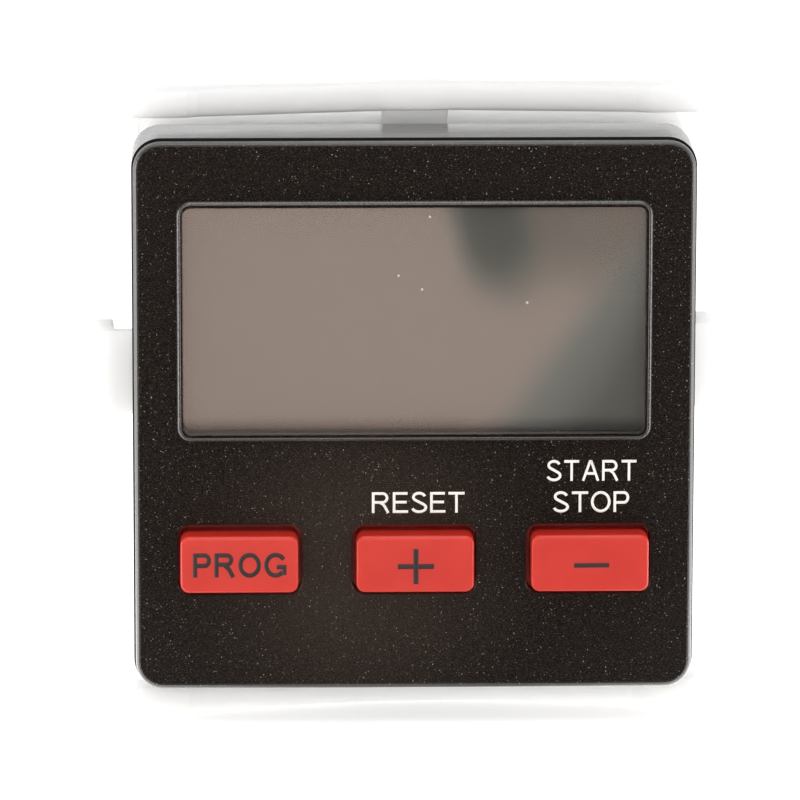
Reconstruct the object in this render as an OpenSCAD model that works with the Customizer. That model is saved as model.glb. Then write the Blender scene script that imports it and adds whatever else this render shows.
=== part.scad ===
// Panel time switch with display, three keys and a clamp frame that slides on from behind.
// Millimetres. Y = 0 is the back of the flange, which rests on the panel. The front faces -Y, Z is up.

/* [Front] */
// side of the square flange
flange_side = 48; // [46:0.1:52]
// corner radius of the flange
flange_r = 2.5; // [1:0.1:4]
// distance from the panel to the front face
front_depth = 8; // [7:0.1:12]
// how much smaller the cover is than the flange, all round
cover_inset = 0.15; // [0.05:0.05:0.5]
// thickness of the cover plate
cover_t = 1; // [0.8:0.1:2]
// radius of the rounded edge of the cover
cover_edge_r = 0.55; // [0.2:0.05:0.9]
// width of the shadow groove between cover and flange
groove_w = 0.35; // [0.1:0.05:0.8]
// wall of the hollow flange
flange_wall = 0.85; // [0.7:0.05:1.5]
// thickness of the flange's floor, which the board and the cover's skirt rest on
ledge_t = 1.2; // [0.8:0.1:2]
// wall of the cover's skirt
skirt_wall = 1; // [0.6:0.1:1.6]
// gap between the skirt and the flange
skirt_gap = 0.15; // [0.05:0.05:0.3]

/* [Display window] */
// distance from the flange's side to the opening
window_side = 4.275; // [3.5:0.025:8]
// distance from the flange's top to the opening
window_top = 5.58; // [5.2:0.02:8]
// height of the opening
window_h = 19.9; // [12:0.1:22]
// corner radius of the opening
window_r = 0.75; // [0.3:0.05:3]
// how far the rim round the opening stands out from the face
rim_h = 0.4; // [0.1:0.05:1]
// width of the rim at its foot
rim_foot = 0.45; // [0.3:0.05:1]
// width of the rim at its crest
rim_crest = 0.25; // [0.1:0.05:0.3]
// gap between the pane and its opening
pane_gap = 0.1; // [0.05:0.01:0.3]
// how far the pane lies behind the rim's crest
pane_recess = 0.1; // [0:0.02:0.4]
// width of the pane's rim behind the cover
pane_rim = 1.1; // [0.5:0.1:2]
// thickness of the pane's rim
pane_rim_t = 0.5; // [0.3:0.1:1]

/* [Keys] */
// distance from the flange's side to the outer keys
key_side = 4.075; // [3.5:0.025:6]
// space between two keys
key_space = 4.85; // [3:0.05:8]
// height of a key
key_h = 4.95; // [3:0.05:9]
// corner radius of a key
key_r = 0.75; // [0.3:0.05:2]
// radius of the rounded front edge of a key
key_edge_r = 0.28; // [0.1:0.02:0.6]
// height of the keys' centres, below the middle of the front
key_z = -12.4; // [-16:0.1:-8]
// how far the keys stand out from the face
key_proud = 1.9; // [0.5:0.1:3]
// gap between a key and its opening, left and right
key_gap = 0.27; // [0.1:0.01:0.5]
// gap between a key and its opening, above and below
key_gap_z = 0.57; // [0.1:0.01:0.7]
// how far the keys sit above the middle of their openings, as a share of that gap
key_lift = 0.05; // [-0.7:0.05:0.7]
// how far the left key sits off the middle of its opening, as a share of the gap
left_key_lean = -0.2; // [-0.7:0.1:0.7]
// how far the middle key sits off, as a share of the gap
middle_key_lean = 0.2; // [-0.7:0.1:0.7]
// how far the right key sits off, as a share of the gap
right_key_lean = 0.3; // [-0.7:0.1:0.7]
// width of the rim that keeps a key behind the cover
key_rim = 0.9; // [0.5:0.1:1.5]
// thickness of that rim
key_rim_t = 0.8; // [0.5:0.1:1.2]
// depth of the guide round a key, behind the cover plate
key_guide_t = 1; // [0.4:0.1:1.1]
// wall of that guide
key_guide_wall = 0.8; // [0.6:0.1:1.2]
// travel of a key
key_travel = 0.5; // [0.2:0.05:1]
// play between a key's rim and the cover
key_play = 0.05; // [0.02:0.01:0.2]
// diameter of the key's stem
key_stem_d = 3; // [2:0.1:4]

/* [Body] */
// side of the square body
body_side = 44; // [42:0.1:44.8]
// depth of the body behind the panel
body_depth = 28; // [24:0.5:60]
// corner radius of the body
body_r = 1.5; // [0.5:0.1:4]
// wall of the body
body_wall = 1.6; // [1.2:0.1:3]
// thickness of the rear cover
rear_t = 1.6; // [1:0.1:3]
// pitch of the rack's teeth
tooth_pitch = 1; // [0.6:0.1:2]
// depth of the rack's teeth
tooth_h = 0.5; // [0.3:0.05:1]
// height of the rack
rack_w = 8.4; // [5:0.1:12]
// start of the rack behind the panel
rack_start = 3; // [1:0.5:8]
// number of teeth
rack_teeth = 20; // [10:1:24]

/* [Boards and display cell] */
// thickness of the display board
display_board_t = 1.2; // [0.8:0.1:1.6]
// thickness of the power board
power_board_t = 1.6; // [1:0.1:2]
// room behind the power board for its tall parts
rear_room = 9.8; // [9.4:0.1:14]
// play of boards and loose pieces in their seats
seat_gap = 0.2; // [0.05:0.05:0.4]
// thickness of one glass of the display cell
cell_glass_t = 0.55; // [0.4:0.05:0.7]
// how far the cell reaches past the window, left and right
cell_margin = 0.65; // [0.3:0.05:1]
// height of the contact ledges above and below on the front glass
cell_ledge = 1.9; // [1.5:0.1:2.5]
// thickness of the polarizer
polarizer_t = 0.15; // [0.1:0.05:0.3]
// thickness of the reflector
reflector_t = 0.2; // [0.1:0.05:0.3]
// wall of the display holder
holder_wall = 0.7; // [0.5:0.1:1]
// thickness of the holder's lip in front of the cell
holder_lip_t = 0.5; // [0.3:0.1:0.8]
// thickness of the two contact strips
strip_t = 1.3; // [0.8:0.1:1.5]

/* [Parts on the boards] */
// side of a key switch
switch_side = 6; // [4:0.1:6.5]
// height of a key switch over the board
switch_h = 1.6; // [1:0.1:1.8]
// side of the microcontroller
controller_side = 10; // [7:0.5:12]
// length of the quartz crystal's can
crystal_l = 6.2; // [5:0.1:8]
// diameter of the quartz crystal's can
crystal_d = 2.1; // [1.5:0.1:3]
// diameter of the backup battery
battery_d = 20; // [12:0.5:20]
// thickness of the backup battery
battery_t = 3.2; // [1.6:0.1:3.2]
// pins in the header that joins the boards
header_pins = 8; // [4:1:10]
// pitch of those pins
header_pitch = 2.54; // [2:0.01:3]
// width of the relay
relay_w = 20; // [15:0.5:20]
// height of the relay
relay_h = 15.4; // [10:0.1:15.6]
// how far the relay stands off its board
relay_d = 10.2; // [8:0.1:11]
// width of the mains capacitor
mains_capacitor_w = 17.5; // [13:0.5:18]
// thickness of the mains capacitor
mains_capacitor_t = 7.5; // [5:0.1:8]
// how far the mains capacitor stands off its board
mains_capacitor_d = 9.2; // [7:0.1:9.3]
// diameter of the smoothing capacitor
smoothing_d = 8; // [5:0.1:8]
// length of the smoothing capacitor
smoothing_l = 11.5; // [8:0.5:12]
// diameter of the varistor
varistor_d = 7.4; // [5:0.1:8]
// thickness of the varistor
varistor_t = 3.4; // [2.5:0.1:4]
// width of the rectifier
rectifier_w = 8.6; // [6:0.1:10]
// diameter of the fuse
fuse_d = 3.6; // [2.5:0.1:4]
// length of the fuse
fuse_l = 9; // [6:0.5:9.5]

/* [Terminals] */
// number of terminals
terminal_count = 6; // [2:1:6]
// wall of the terminal block beside its first and last terminal
terminal_end = 0.7; // [0.5:0.1:1.5]
// height of the terminal block
block_h = 12; // [11:0.1:13]
// diameter of a terminal screw's head
screw_head_d = 3.9; // [2.5:0.1:5]
// side of the square wire hole
wire_hole = 3.4; // [2:0.1:4.5]

/* [Clamp frame] */
// gap between the collar and the body, left and right
collar_side_gap = 0.5; // [0.4:0.05:1]
// gap between the collar and the body, above and below
collar_top_gap = 0.25; // [0.1:0.05:0.6]
// wall of the collar, left and right
collar_side_wall = 0.9; // [0.7:0.1:1.4]
// wall of the collar, above and below
collar_top_wall = 2.25; // [1.5:0.05:3]
// corner radius of the collar
collar_r = 2; // [0.5:0.1:3]
// front of the collar behind the panel seat
collar_y = 3.5; // [1:0.1:8]
// depth of the collar
collar_depth = 11; // [6:0.1:14]
// gap between the flange's edge and a spring bar
bar_gap = 1.05; // [0.5:0.05:3]
// height of one bar
bar_h = 2.25; // [1.5:0.05:4]
// length of a bar
bar_w = 48.8; // [40:0.1:52]
// front of a bar's middle, counted from the panel seat
bar_mid_front = 0.6; // [-1:0.1:3]
// back of a bar's middle
bar_mid_back = 2.6; // [1:0.1:5]
// front of a bar's ends
bar_end_front = -1.5; // [-4:0.1:1]
// back of a bar's ends
bar_end_back = 1.05; // [-1:0.05:3]
// how far the pads stand out from the ends of the bars
pad_t = 0.2; // [0.1:0.1:1.5]
// width of a pad
pad_w = 4.6; // [2:0.1:6]
// width of the web between bar and collar
web_w = 5.6; // [3:0.1:12]
// how far a finger tab stands out from the collar
tab_reach = 3.9; // [2.9:0.05:6]
// height of a finger tab
tab_h = 7.35; // [4:0.05:12]
// front of a finger tab behind the panel seat
tab_y = 11.1; // [8:0.1:20]
// depth of a finger tab
tab_depth = 5.6; // [3:0.1:8]
// thickness of a finger tab
tab_t = 1.7; // [1:0.1:2]
// thickness of the levers that carry the pawls
lever_t = 1.1; // [0.8:0.1:1.4]
// gap between a pawl's tip and the crests of the rack
pawl_gap = 0.12; // [0.05:0.01:0.3]
// distance from the panel to the pawls
pawl_y = 8; // [5:0.1:14]
// teeth by which the right pawl lags the left one, since the frame sits askew
skew_teeth = 2; // [0:1:3]

/* [Hidden] */
$fn = 48;
eps = 0.01;

front_y = -front_depth;
cover_side = flange_side - 2 * cover_inset;
cover_r = flange_r - cover_inset;
cover_back = front_y + cover_t;
flange_front = cover_back + groove_w;
flange_edge = 0.2;
flange_in = flange_side - 2 * flange_wall;
flange_in_r = flange_r - flange_wall;
ledge_y = -ledge_t;
skirt_side = flange_in - 2 * skirt_gap;
skirt_in = skirt_side - 2 * skirt_wall;
skirt_r = flange_in_r - skirt_gap;
skirt_in_r = 0.8;
hook_w = 5;
hook_h = 0.3;
hook_t = 0.9;
hook_drop = 2.2;
hook_y = ledge_y - hook_drop;
hook_x = 12;
hook_gap = 0.1;

window_w = flange_side - 2 * window_side;
window_z = (flange_side - window_h) / 2 - window_top;
pane_w = window_w - 2 * pane_gap;
pane_h = window_h - 2 * pane_gap;
pane_r = window_r - pane_gap;
rim_y = front_y - rim_h;
pane_front = rim_y + pane_recess;
pane_back = cover_back + pane_rim_t;

board_back = ledge_y;
board_front = board_back - display_board_t;
display_board_side = skirt_in - 2 * seat_gap;

key_w = (flange_side - 2 * (key_side + key_space)) / 3;
key_pitch = key_w + key_space;
key_front = front_y - key_proud;
key_rim_front = cover_back + key_guide_t + key_play;
key_rim_back = key_rim_front + key_rim_t;
key_open_w = key_w + 2 * key_gap;
key_open_h = key_h + 2 * key_gap_z;
key_open_bevel = 0.08;
switch_cap_d = 2.6;
switch_cap_t = 0.4;
switch_front = board_front - switch_h;
switch_cap_top = switch_front - switch_cap_t;
key_stem_back = switch_cap_top - key_travel - key_play;

glass_w = window_w + 2 * cell_margin;
rear_glass_h = window_h + 0.2;
glass_h = rear_glass_h + 2 * cell_ledge;
pocket_w = glass_w + 2 * seat_gap;
pocket_h = glass_h + 2 * seat_gap;
holder_front = pane_back + 0.1;
polarizer_y = holder_front + holder_lip_t;
glass_y = polarizer_y + polarizer_t;
rear_glass_y = glass_y + cell_glass_t;
reflector_y = rear_glass_y + cell_glass_t;
pad_y = reflector_y + reflector_t;
strip_inset = 1.5;
strip_w = glass_w - 2 * strip_inset;
strip_z = (rear_glass_h + cell_ledge) / 2;
pad_inset_x = 2.5;
pad_inset_z = 1.7;

body_in = body_side - 2 * body_wall;
body_in_r = 0.6;
post = 3.2;

controller_x = -12;
controller_z = -11;
controller_t = 1.4;
leg_lift = 0.1;
leg_l = 1.2;
leg_w = 0.4;
leg_t = 0.5;
crystal_x = -17.5;
crystal_z = -1;
crystal_lead = 0.3;
crystal_lead_l = 1.4;
crystal_lead_x = 0.4;
battery_gap = 0.4;
battery_x = body_in / 2 - battery_gap - battery_d / 2;
battery_z = 6.5;
battery_lift = 0.5;
battery_tab_w = 3;
battery_tab_h = 2;
header_bar = 2.2;
header_gap = 0.3;
header_z = body_in / 2 - header_gap - header_bar / 2;
header_foot = 2.5;
pin_w = 0.64;
relay_x = -9;
relay_z = -6;
mains_capacitor_x = -9;
smoothing_x = 4.6;
smoothing_lift = 0.1;
smoothing_reach = 1.2;
smoothing_lead_z = 1.25;
varistor_x = -14;
varistor_lift = 1;
varistor_lead_z = 2.2;
varistor_lead_l = 3.2;
rectifier_x = 10.5;
rectifier_z = 2.6;
rectifier_h = 6.4;
rectifier_t = 2.6;
rectifier_lift = 0.2;
rectifier_leg_w = 1.2;
rectifier_leg_t = 0.8;
rectifier_leg_x = 2.6;
rectifier_leg_z = 3.7;
fuse_x = -6.5;
fuse_lift = 0.4;

rear_y = body_depth - rear_t;
board_y2 = rear_y - rear_room;
power_board_y = board_y2 - power_board_t;
power_board_side = body_in - 2 * seat_gap;
upper_z = 12.6;
middle_z = 3.4;
lead = 0.6;

block_w = power_board_side;
terminal_pitch = (block_w - 2 * terminal_end) / terminal_count;
block_z0 = -block_w / 2;
block_z1 = block_z0 + block_h;
block_back = body_depth - 0.5;
screw_down = 4.4;
screw_z = block_z1 - screw_down;
screw_head_t = 1.5;
screw_sink = 2.6;
screw_head_y = body_depth - screw_sink;
screw_well_d = screw_head_d + 0.6;
screw_play = 0.1;
screw_grip = 2;
screw_d = 2.4;
slot_w = 0.7;
slot_d = 0.7;
clamp_w = 4.4;
clamp_t = 4.6;
clamp_wall = 0.7;
clamp_floor = 2;
clamp_y = board_y2 + clamp_floor;
wire_y = clamp_y + clamp_t / 2;
wire_open = wire_hole + 0.6;

cover_play = 0.1;
latch_x = 12;
latch_w = 6;
latch_t = 1.1;
latch_h = 0.5;
latch_reach = 2.4;
latch_down = 1;
latch_flat = 0.4;
latch_slope = 0.6;
latch_end = latch_down + latch_flat + latch_slope;
vent_pitch = 3.4;
vent_w = 1.4;
vent_h = 9;

lever_slit = 2.1;
bar_slope = 0.25;
bar_chamfer = 0.6;
pad_ramp = 1;
web_reach = 4;
web_foot = 2;
web_sink = 1.8;
web_lead = 0.6;
web_top = 0.7;
collar_in_w = body_side + 2 * collar_side_gap;
collar_in_h = body_side + 2 * collar_top_gap;
collar_w = collar_in_w + 2 * collar_side_wall;
collar_h = collar_in_h + 2 * collar_top_wall;
collar_back = collar_y + collar_depth;
notch_h = tab_h + lever_slit;
bars_h = flange_side + 2 * (bar_gap + bar_h);
tabs_w = collar_w + 2 * tab_reach;
skew = asin(skew_teeth * tooth_pitch / (body_side + 2 * pawl_gap));

// a plate with rounded corners seen from the front, from y0 to y1
module plate(w, h, r, y0, y1) {
    translate([0, y1, 0])
    rotate([90, 0, 0])
    linear_extrude(height = y1 - y0)
    rounded(w, h, r);
}

module rounded(w, h, r) {
    square([w, h - 2 * r], center = true);
    square([w - 2 * r, h], center = true);
    for (x = [-1, 1], z = [-1, 1])
        translate([x * (w / 2 - r), z * (h / 2 - r)])
        circle(r = r);
}

module box(x0, x1, y0, y1, z0, z1) {
    translate([x0, y0, z0])
    cube([x1 - x0, y1 - y0, z1 - z0]);
}

// a rod along Y
module rod(d, y0, y1) {
    translate([0, y1, 0])
    rotate([90, 0, 0])
    cylinder(d = d, h = y1 - y0);
}

// a rounded plate whose front edge is rounded with radius e
module soft_plate(w, h, r, e, y0, y1) {
    hull() {
        for (x = [-1, 1], z = [-1, 1])
            translate([x * (w / 2 - r), y1, z * (h / 2 - r)])
            rotate([90, 0, 0])
            soft_puck(r, e, y1 - y0);
    }
}

module soft_puck(r, e, h) {
    rotate_extrude($fn = 32) {
        square([r, h - e]);
        square([r - e, h]);
        translate([r - e, h - e])
        intersection() {
            circle(r = e, $fn = 24);
            square([e, e]);
        }
    }
}

// a rounded opening that widens towards the front
module bevel_opening(w, h, r, b, y) {
    hull() {
        plate(w, h, r, y + b, y + b + eps);
        plate(w + 2 * b + 2 * eps, h + 2 * b + 2 * eps, r + b, y - eps, y);
    }
}

module front_cover() {
    color("#262220")
    difference() {
        union() {
            soft_plate(cover_side, cover_side, cover_r, cover_edge_r, front_y, cover_back);
            plate(skirt_side, skirt_side, skirt_r, cover_back - eps, ledge_y);
            for (z = [-1, 1], x = [-1, 1])
                hook(x * hook_x, z);
            translate([0, 0, window_z])
            window_rim();
        }
        difference() {
            plate(skirt_in, skirt_in, skirt_in_r, cover_back, ledge_y + 1);
            for (i = [-1, 0, 1])
                translate([i * key_pitch, 0, key_z])
                key_guide();
        }
        translate([0, 0, window_z])
        plate(window_w, window_h, window_r, rim_y - 1, cover_back + 1);
        for (i = [-1, 0, 1])
            translate([i * key_pitch, 0, key_z]) {
                plate(key_open_w, key_open_h, key_r + key_gap, front_y - 1, cover_back + key_guide_t + 1);
                bevel_opening(key_open_w, key_open_h, key_r + key_gap, key_open_bevel, front_y);
            }
    }
}

// a wall round a key's opening that guides the key
module key_guide() {
    plate(key_open_w + 2 * key_guide_wall, key_open_h + 2 * key_guide_wall, key_r + key_gap + key_guide_wall,
        cover_back - 1, cover_back + key_guide_t);
}

// a low rim round the window with sloping sides
module window_rim() {
    foot = 2 * rim_foot;
    crest = 2 * rim_crest;
    hull() {
        plate(window_w + foot, window_h + foot, window_r + rim_foot, front_y, front_y + eps);
        plate(window_w + crest, window_h + crest, window_r + rim_crest, rim_y, rim_y + eps);
    }
}

// a snap hook on the skirt, steep towards the front
module hook(x, side) {
    edge = skirt_side / 2;
    translate([x - hook_w / 2, hook_y, 0])
    rotate([90, 0, 90])
    linear_extrude(height = hook_w)
    polygon([[0, side * (edge - eps)], [0, side * (edge + hook_h)],
        [hook_t / 2, side * (edge + hook_h)], [hook_t, side * (edge - eps)]]);
}

module hook_pocket(x, side) {
    edge = flange_in / 2;
    reach = hook_h - skirt_gap + hook_gap;
    z0 = side > 0 ? edge - eps : -edge - reach;
    box(x - hook_w / 2 - hook_gap, x + hook_w / 2 + hook_gap,
        hook_y - hook_gap, hook_y + hook_t + hook_gap, z0, z0 + reach + eps);
}

module window_pane() {
    color("#6a6c68")
    translate([0, 0, window_z]) {
        plate(pane_w, pane_h, pane_r, pane_front, cover_back + eps);
        plate(pane_w + 2 * pane_rim, pane_h + 2 * pane_rim, pane_r, cover_back, pane_back);
    }
}

module button(i, lean) {
    color("#d8423a")
    translate([i * key_pitch + lean * key_gap, 0, key_z + key_lift * key_gap_z]) {
        soft_plate(key_w, key_h, key_r, key_edge_r, key_front, key_rim_front + eps);
        plate(key_w + 2 * key_rim, key_h + 2 * key_rim, key_r, key_rim_front, key_rim_back);
        rod(key_stem_d, key_rim_back - eps, key_stem_back);
    }
}

module display_polarizer() {
    color("#8a8c86")
    translate([0, 0, window_z])
    plate(glass_w - 0.6, rear_glass_h + 0.6, 0.2, polarizer_y, glass_y);
}

module display_front_glass() {
    color("#b8c4c0")
    translate([0, 0, window_z])
    plate(glass_w, glass_h, 0.2, glass_y, rear_glass_y);
}

module display_rear_glass() {
    color("#a8b4b0")
    translate([0, 0, window_z])
    plate(glass_w, rear_glass_h, 0.2, rear_glass_y, reflector_y);
}

module display_reflector() {
    color("#c9ccc4")
    translate([0, 0, window_z])
    plate(glass_w - 0.6, rear_glass_h - 0.4, 0.2, reflector_y, pad_y);
}

module display_holder() {
    color("#1c1c1c")
    translate([0, 0, window_z])
    difference() {
        plate(pocket_w + 2 * holder_wall, pocket_h + 2 * holder_wall, 0.6, holder_front, board_front);
        plate(window_w - 0.1, window_h - 0.1, 0.6, holder_front - 1, polarizer_y + 1);
        plate(pocket_w, pocket_h, 0.3, polarizer_y, board_front + 1);
    }
}

module contact_strips() {
    color("#d8c8b0")
    for (side = [-1, 1])
        translate([0, 0, window_z + side * strip_z])
        box(-strip_w / 2, strip_w / 2, rear_glass_y, board_front, -strip_t / 2, strip_t / 2);
}

module backing_pad() {
    color("#3a3d44")
    translate([0, 0, window_z])
    plate(glass_w - 2 * pad_inset_x, rear_glass_h - 2 * pad_inset_z, 0.6, pad_y, board_front);
}

module display_board() {
    color("#1f6b3f")
    plate(display_board_side, display_board_side, 0.7, board_front, board_back);
}

module key_switches() {
    for (i = [-1, 0, 1])
        translate([i * key_pitch, 0, key_z]) {
            color("#202022")
            plate(switch_side, switch_side, 0.3, switch_front, board_front);
            color("#c8c4b8")
            rod(switch_cap_d, switch_cap_top, switch_front + eps);
        }
}

module microcontroller() {
    legs = 8;
    pitch = controller_side / (legs + 1);
    reach = controller_side / 2 + leg_l / 2 - leg_lift;
    translate([controller_x, board_back, controller_z]) {
        color("#18181a")
        plate(controller_side, controller_side, 0.3, leg_lift, leg_lift + controller_t);
        color("#b8b8bc")
        for (k = [0 : legs - 1], side = [-1, 1]) {
            along = (k - (legs - 1) / 2) * pitch;
            leg(side * reach, along, leg_l, leg_w);
            leg(along, side * reach, leg_w, leg_l);
        }
    }
}

module leg(x, z, w, h) {
    box(x - w / 2, x + w / 2, 0, leg_t, z - h / 2, z + h / 2);
}

module quartz_crystal() {
    translate([crystal_x, board_back, crystal_z]) {
        color("#c8c8cc")
        translate([0, crystal_d / 2, 0])
        rotate([0, 90, 0])
        cylinder(d = crystal_d, h = crystal_l);
        color("#b0b0a8")
        for (z = [-crystal_lead_x, crystal_lead_x])
            box(crystal_l - eps, crystal_l + crystal_lead_l, 0, crystal_d / 2,
                z - crystal_lead / 2, z + crystal_lead / 2);
    }
}

module backup_battery() {
    color("#c4c6c8")
    translate([battery_x, board_back, battery_z]) {
        rod(battery_d, battery_lift, battery_lift + battery_t);
        for (side = [-1, 1])
            translate([side * battery_d * 0.35, 0, 0])
            box(-battery_tab_w / 2, battery_tab_w / 2, 0, battery_lift + eps,
                -battery_tab_h / 2, battery_tab_h / 2);
    }
}

module board_header() {
    w = header_pins * header_pitch;
    translate([0, 0, header_z]) {
        color("#18181a") {
            box(-w / 2, w / 2, board_back, board_back + header_foot, -header_bar / 2, header_bar / 2);
            box(-w / 2, w / 2, power_board_y - header_foot, power_board_y, -header_bar / 2, header_bar / 2);
        }
        color("#c8a850")
        for (k = [0 : header_pins - 1])
            translate([(k - (header_pins - 1) / 2) * header_pitch, 0, 0])
            box(-pin_w / 2, pin_w / 2, board_back + header_foot - eps, power_board_y - header_foot + eps,
                -pin_w / 2, pin_w / 2);
    }
}

module power_board() {
    color("#1f6b3f")
    plate(power_board_side, power_board_side, body_in_r, power_board_y, board_y2);
}

module relay() {
    color("#2b5fa8")
    translate([relay_x, 0, relay_z])
    plate(relay_w, relay_h, 0.6, power_board_y - relay_d, power_board_y);
}

module mains_capacitor() {
    color("#e0b030")
    translate([mains_capacitor_x, 0, upper_z])
    plate(mains_capacitor_w, mains_capacitor_t, 0.5, board_y2, board_y2 + mains_capacitor_d);
}

// a wire lead that stands on the power board
module lead_wire(x, z, h) {
    color("#b8b8bc")
    box(x - lead / 2, x + lead / 2, board_y2, board_y2 + h, z - lead / 2, z + lead / 2);
}

module smoothing_capacitor() {
    lift = smoothing_d / 2 + smoothing_lift;
    foot = smoothing_x - smoothing_reach;
    color("#2a3340")
    translate([smoothing_x, board_y2 + lift, upper_z])
    rotate([0, 90, 0])
    cylinder(d = smoothing_d, h = smoothing_l);
    for (z = [upper_z - smoothing_lead_z, upper_z + smoothing_lead_z]) {
        lead_wire(foot, z, lift);
        color("#b8b8bc")
        box(foot - lead / 2, smoothing_x + eps, board_y2 + lift - lead, board_y2 + lift,
            z - lead / 2, z + lead / 2);
    }
}

module varistor() {
    color("#2f6fb0")
    translate([varistor_x, board_y2 + varistor_d / 2 + varistor_lift, middle_z])
    rotate([0, 90, 0])
    cylinder(d = varistor_d, h = varistor_t);
    for (z = [middle_z - varistor_lead_z, middle_z + varistor_lead_z])
        lead_wire(varistor_x + varistor_t / 2, z, varistor_lead_l);
}

module rectifier() {
    translate([rectifier_x, board_y2, rectifier_z]) {
        color("#18181a")
        plate(rectifier_w, rectifier_h, 0.3, rectifier_lift, rectifier_lift + rectifier_t);
        color("#b8b8bc")
        for (x = [-rectifier_leg_x, rectifier_leg_x], z = [-rectifier_leg_z, rectifier_leg_z])
            translate([x - rectifier_leg_w / 2, 0, z - rectifier_leg_w / 2])
            cube([rectifier_leg_w, rectifier_leg_t, rectifier_leg_w]);
    }
}

module fuse() {
    lift = fuse_d / 2 + fuse_lift;
    color("#8a5a3a")
    translate([fuse_x, board_y2 + lift, middle_z])
    rotate([0, 90, 0])
    cylinder(d = fuse_d, h = fuse_l);
    for (x = [fuse_x - lead / 2, fuse_x + fuse_l + lead / 2])
        lead_wire(x, middle_z, lift);
}

function terminal_x(k) = (k - (terminal_count - 1) / 2) * terminal_pitch;

module terminal_block() {
    color("#2a2a2c")
    difference() {
        box(-block_w / 2, block_w / 2, board_y2, block_back, block_z0, block_z1);
        for (k = [0 : terminal_count - 1])
            translate([terminal_x(k), 0, 0]) {
                // screw well, screw hole, clamp chamber and wire hole of one terminal
                translate([0, 0, screw_z])
                rod(screw_well_d, screw_head_y, block_back + 1);
                translate([0, 0, screw_z])
                rod(screw_d + 0.4, clamp_y, block_back + 1);
                box(-clamp_w / 2 - seat_gap, clamp_w / 2 + seat_gap, clamp_y, clamp_y + clamp_t + 2 * seat_gap,
                    block_z0 + 1.6, screw_z + clamp_w / 2 + seat_gap);
                box(-wire_hole / 2, wire_hole / 2, wire_y - wire_hole / 2, wire_y + wire_hole / 2,
                    block_z0 - 1, screw_z);
            }
    }
}

module wire_clamps() {
    half = clamp_w / 2;
    color("#c9ccd0")
    for (k = [0 : terminal_count - 1])
        translate([terminal_x(k), 0, 0])
        difference() {
            box(-half, half, clamp_y, clamp_y + clamp_t, screw_z - half, screw_z + half);
            box(clamp_wall - half, half - clamp_wall, clamp_y + clamp_wall, clamp_y + clamp_t - 2 * clamp_wall,
                screw_z - clamp_w, screw_z + clamp_w);
            translate([0, 0, screw_z])
            rod(screw_d + screw_play, clamp_y + clamp_t - screw_grip, clamp_y + clamp_t + 1);
        }
}

module terminal_screws() {
    color("#d0d2d4")
    for (k = [0 : terminal_count - 1])
        translate([terminal_x(k), 0, screw_z])
        difference() {
            union() {
                rod(screw_head_d, screw_head_y, screw_head_y + screw_head_t);
                rod(screw_d, clamp_y + 2 * clamp_wall, screw_head_y + eps);
            }
            box(-screw_head_d, screw_head_d, screw_head_y + screw_head_t - slot_d,
                screw_head_y + screw_head_t + 1, -slot_w / 2, slot_w / 2);
        }
}

module case() {
    small = flange_side - 2 * flange_edge;
    color("#2b2826")
    difference() {
        union() {
            hull() {
                plate(flange_side, flange_side, flange_r, flange_front + flange_edge, 0);
                plate(small, small, flange_r - flange_edge, flange_front, 0);
            }
            plate(body_side, body_side, body_r, -eps, body_depth);
        }
        difference() {
            plate(body_in, body_in, body_in_r, ledge_y - 1, body_depth + 1);
            // corner posts that carry the power board
            for (x = [-1, 1], z = [-1, 1])
                translate([x * body_in / 2, 0, z * body_in / 2])
                box(-post, post, ledge_y - 2, power_board_y, -post, post);
        }
        plate(flange_in, flange_in, flange_in_r, flange_front - 1, ledge_y);
        for (z = [-1, 1], x = [-1, 1])
            hook_pocket(x * hook_x, z);
        for (side = [-1, 1])
            rack(side);
        for (k = [0 : terminal_count - 1])
            translate([terminal_x(k), wire_y, -body_side / 2])
            cube([wire_open, wire_open, 3 * body_wall], center = true);
        for (x = [-1, 1])
            box(x * latch_x - latch_w / 2 - cover_play, x * latch_x + latch_w / 2 + cover_play,
                rear_y - latch_end - cover_play, rear_y - latch_down + cover_play,
                body_in / 2 - eps, body_in / 2 + latch_h + cover_play);
    }
}

// saw teeth cut into one side of the body, steep towards the front
module rack(side) {
    edge = side * body_side / 2;
    out = edge + side;
    crest = 0.1;
    for (k = [0 : rack_teeth - 1])
        translate([0, rack_start + k * tooth_pitch, -rack_w / 2])
        linear_extrude(height = rack_w)
        polygon([[out, crest], [edge, crest], [edge - side * tooth_h, tooth_pitch - crest],
            [out, tooth_pitch - crest]]);
}

module rear_cover() {
    side = body_in - 2 * cover_play;
    post_x = side / 2 - 1.8;
    color("#2b2826")
    difference() {
        union() {
            plate(side, side, body_in_r - cover_play, rear_y, body_depth);
            for (x = [-1, 1])
                translate([x * post_x, 0, post_x])
                rod(post, board_y2, rear_y + eps);
            for (x = [-1, 1])
                rear_latch(x * latch_x, side / 2);
        }
        box(-block_w / 2 - seat_gap, block_w / 2 + seat_gap, rear_y - 1, body_depth + 1,
            -side, block_z1 + seat_gap);
        for (k = [-4 : 4])
            translate([k * vent_pitch, 0, upper_z])
            plate(vent_w, vent_h, vent_w / 2 - 0.1, rear_y - 1, body_depth + 1);
    }
}

module rear_latch(x, edge) {
    box(x - latch_w / 2, x + latch_w / 2, rear_y - latch_reach, rear_y + eps, edge - latch_t, edge);
    translate([x - latch_w / 2, rear_y, 0])
    rotate([90, 0, 90])
    linear_extrude(height = latch_w)
    polygon([[-latch_down, edge - eps], [-latch_down, edge + latch_h],
        [latch_slope - latch_end, edge + latch_h], [-latch_end, edge - eps]]);
}

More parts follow.
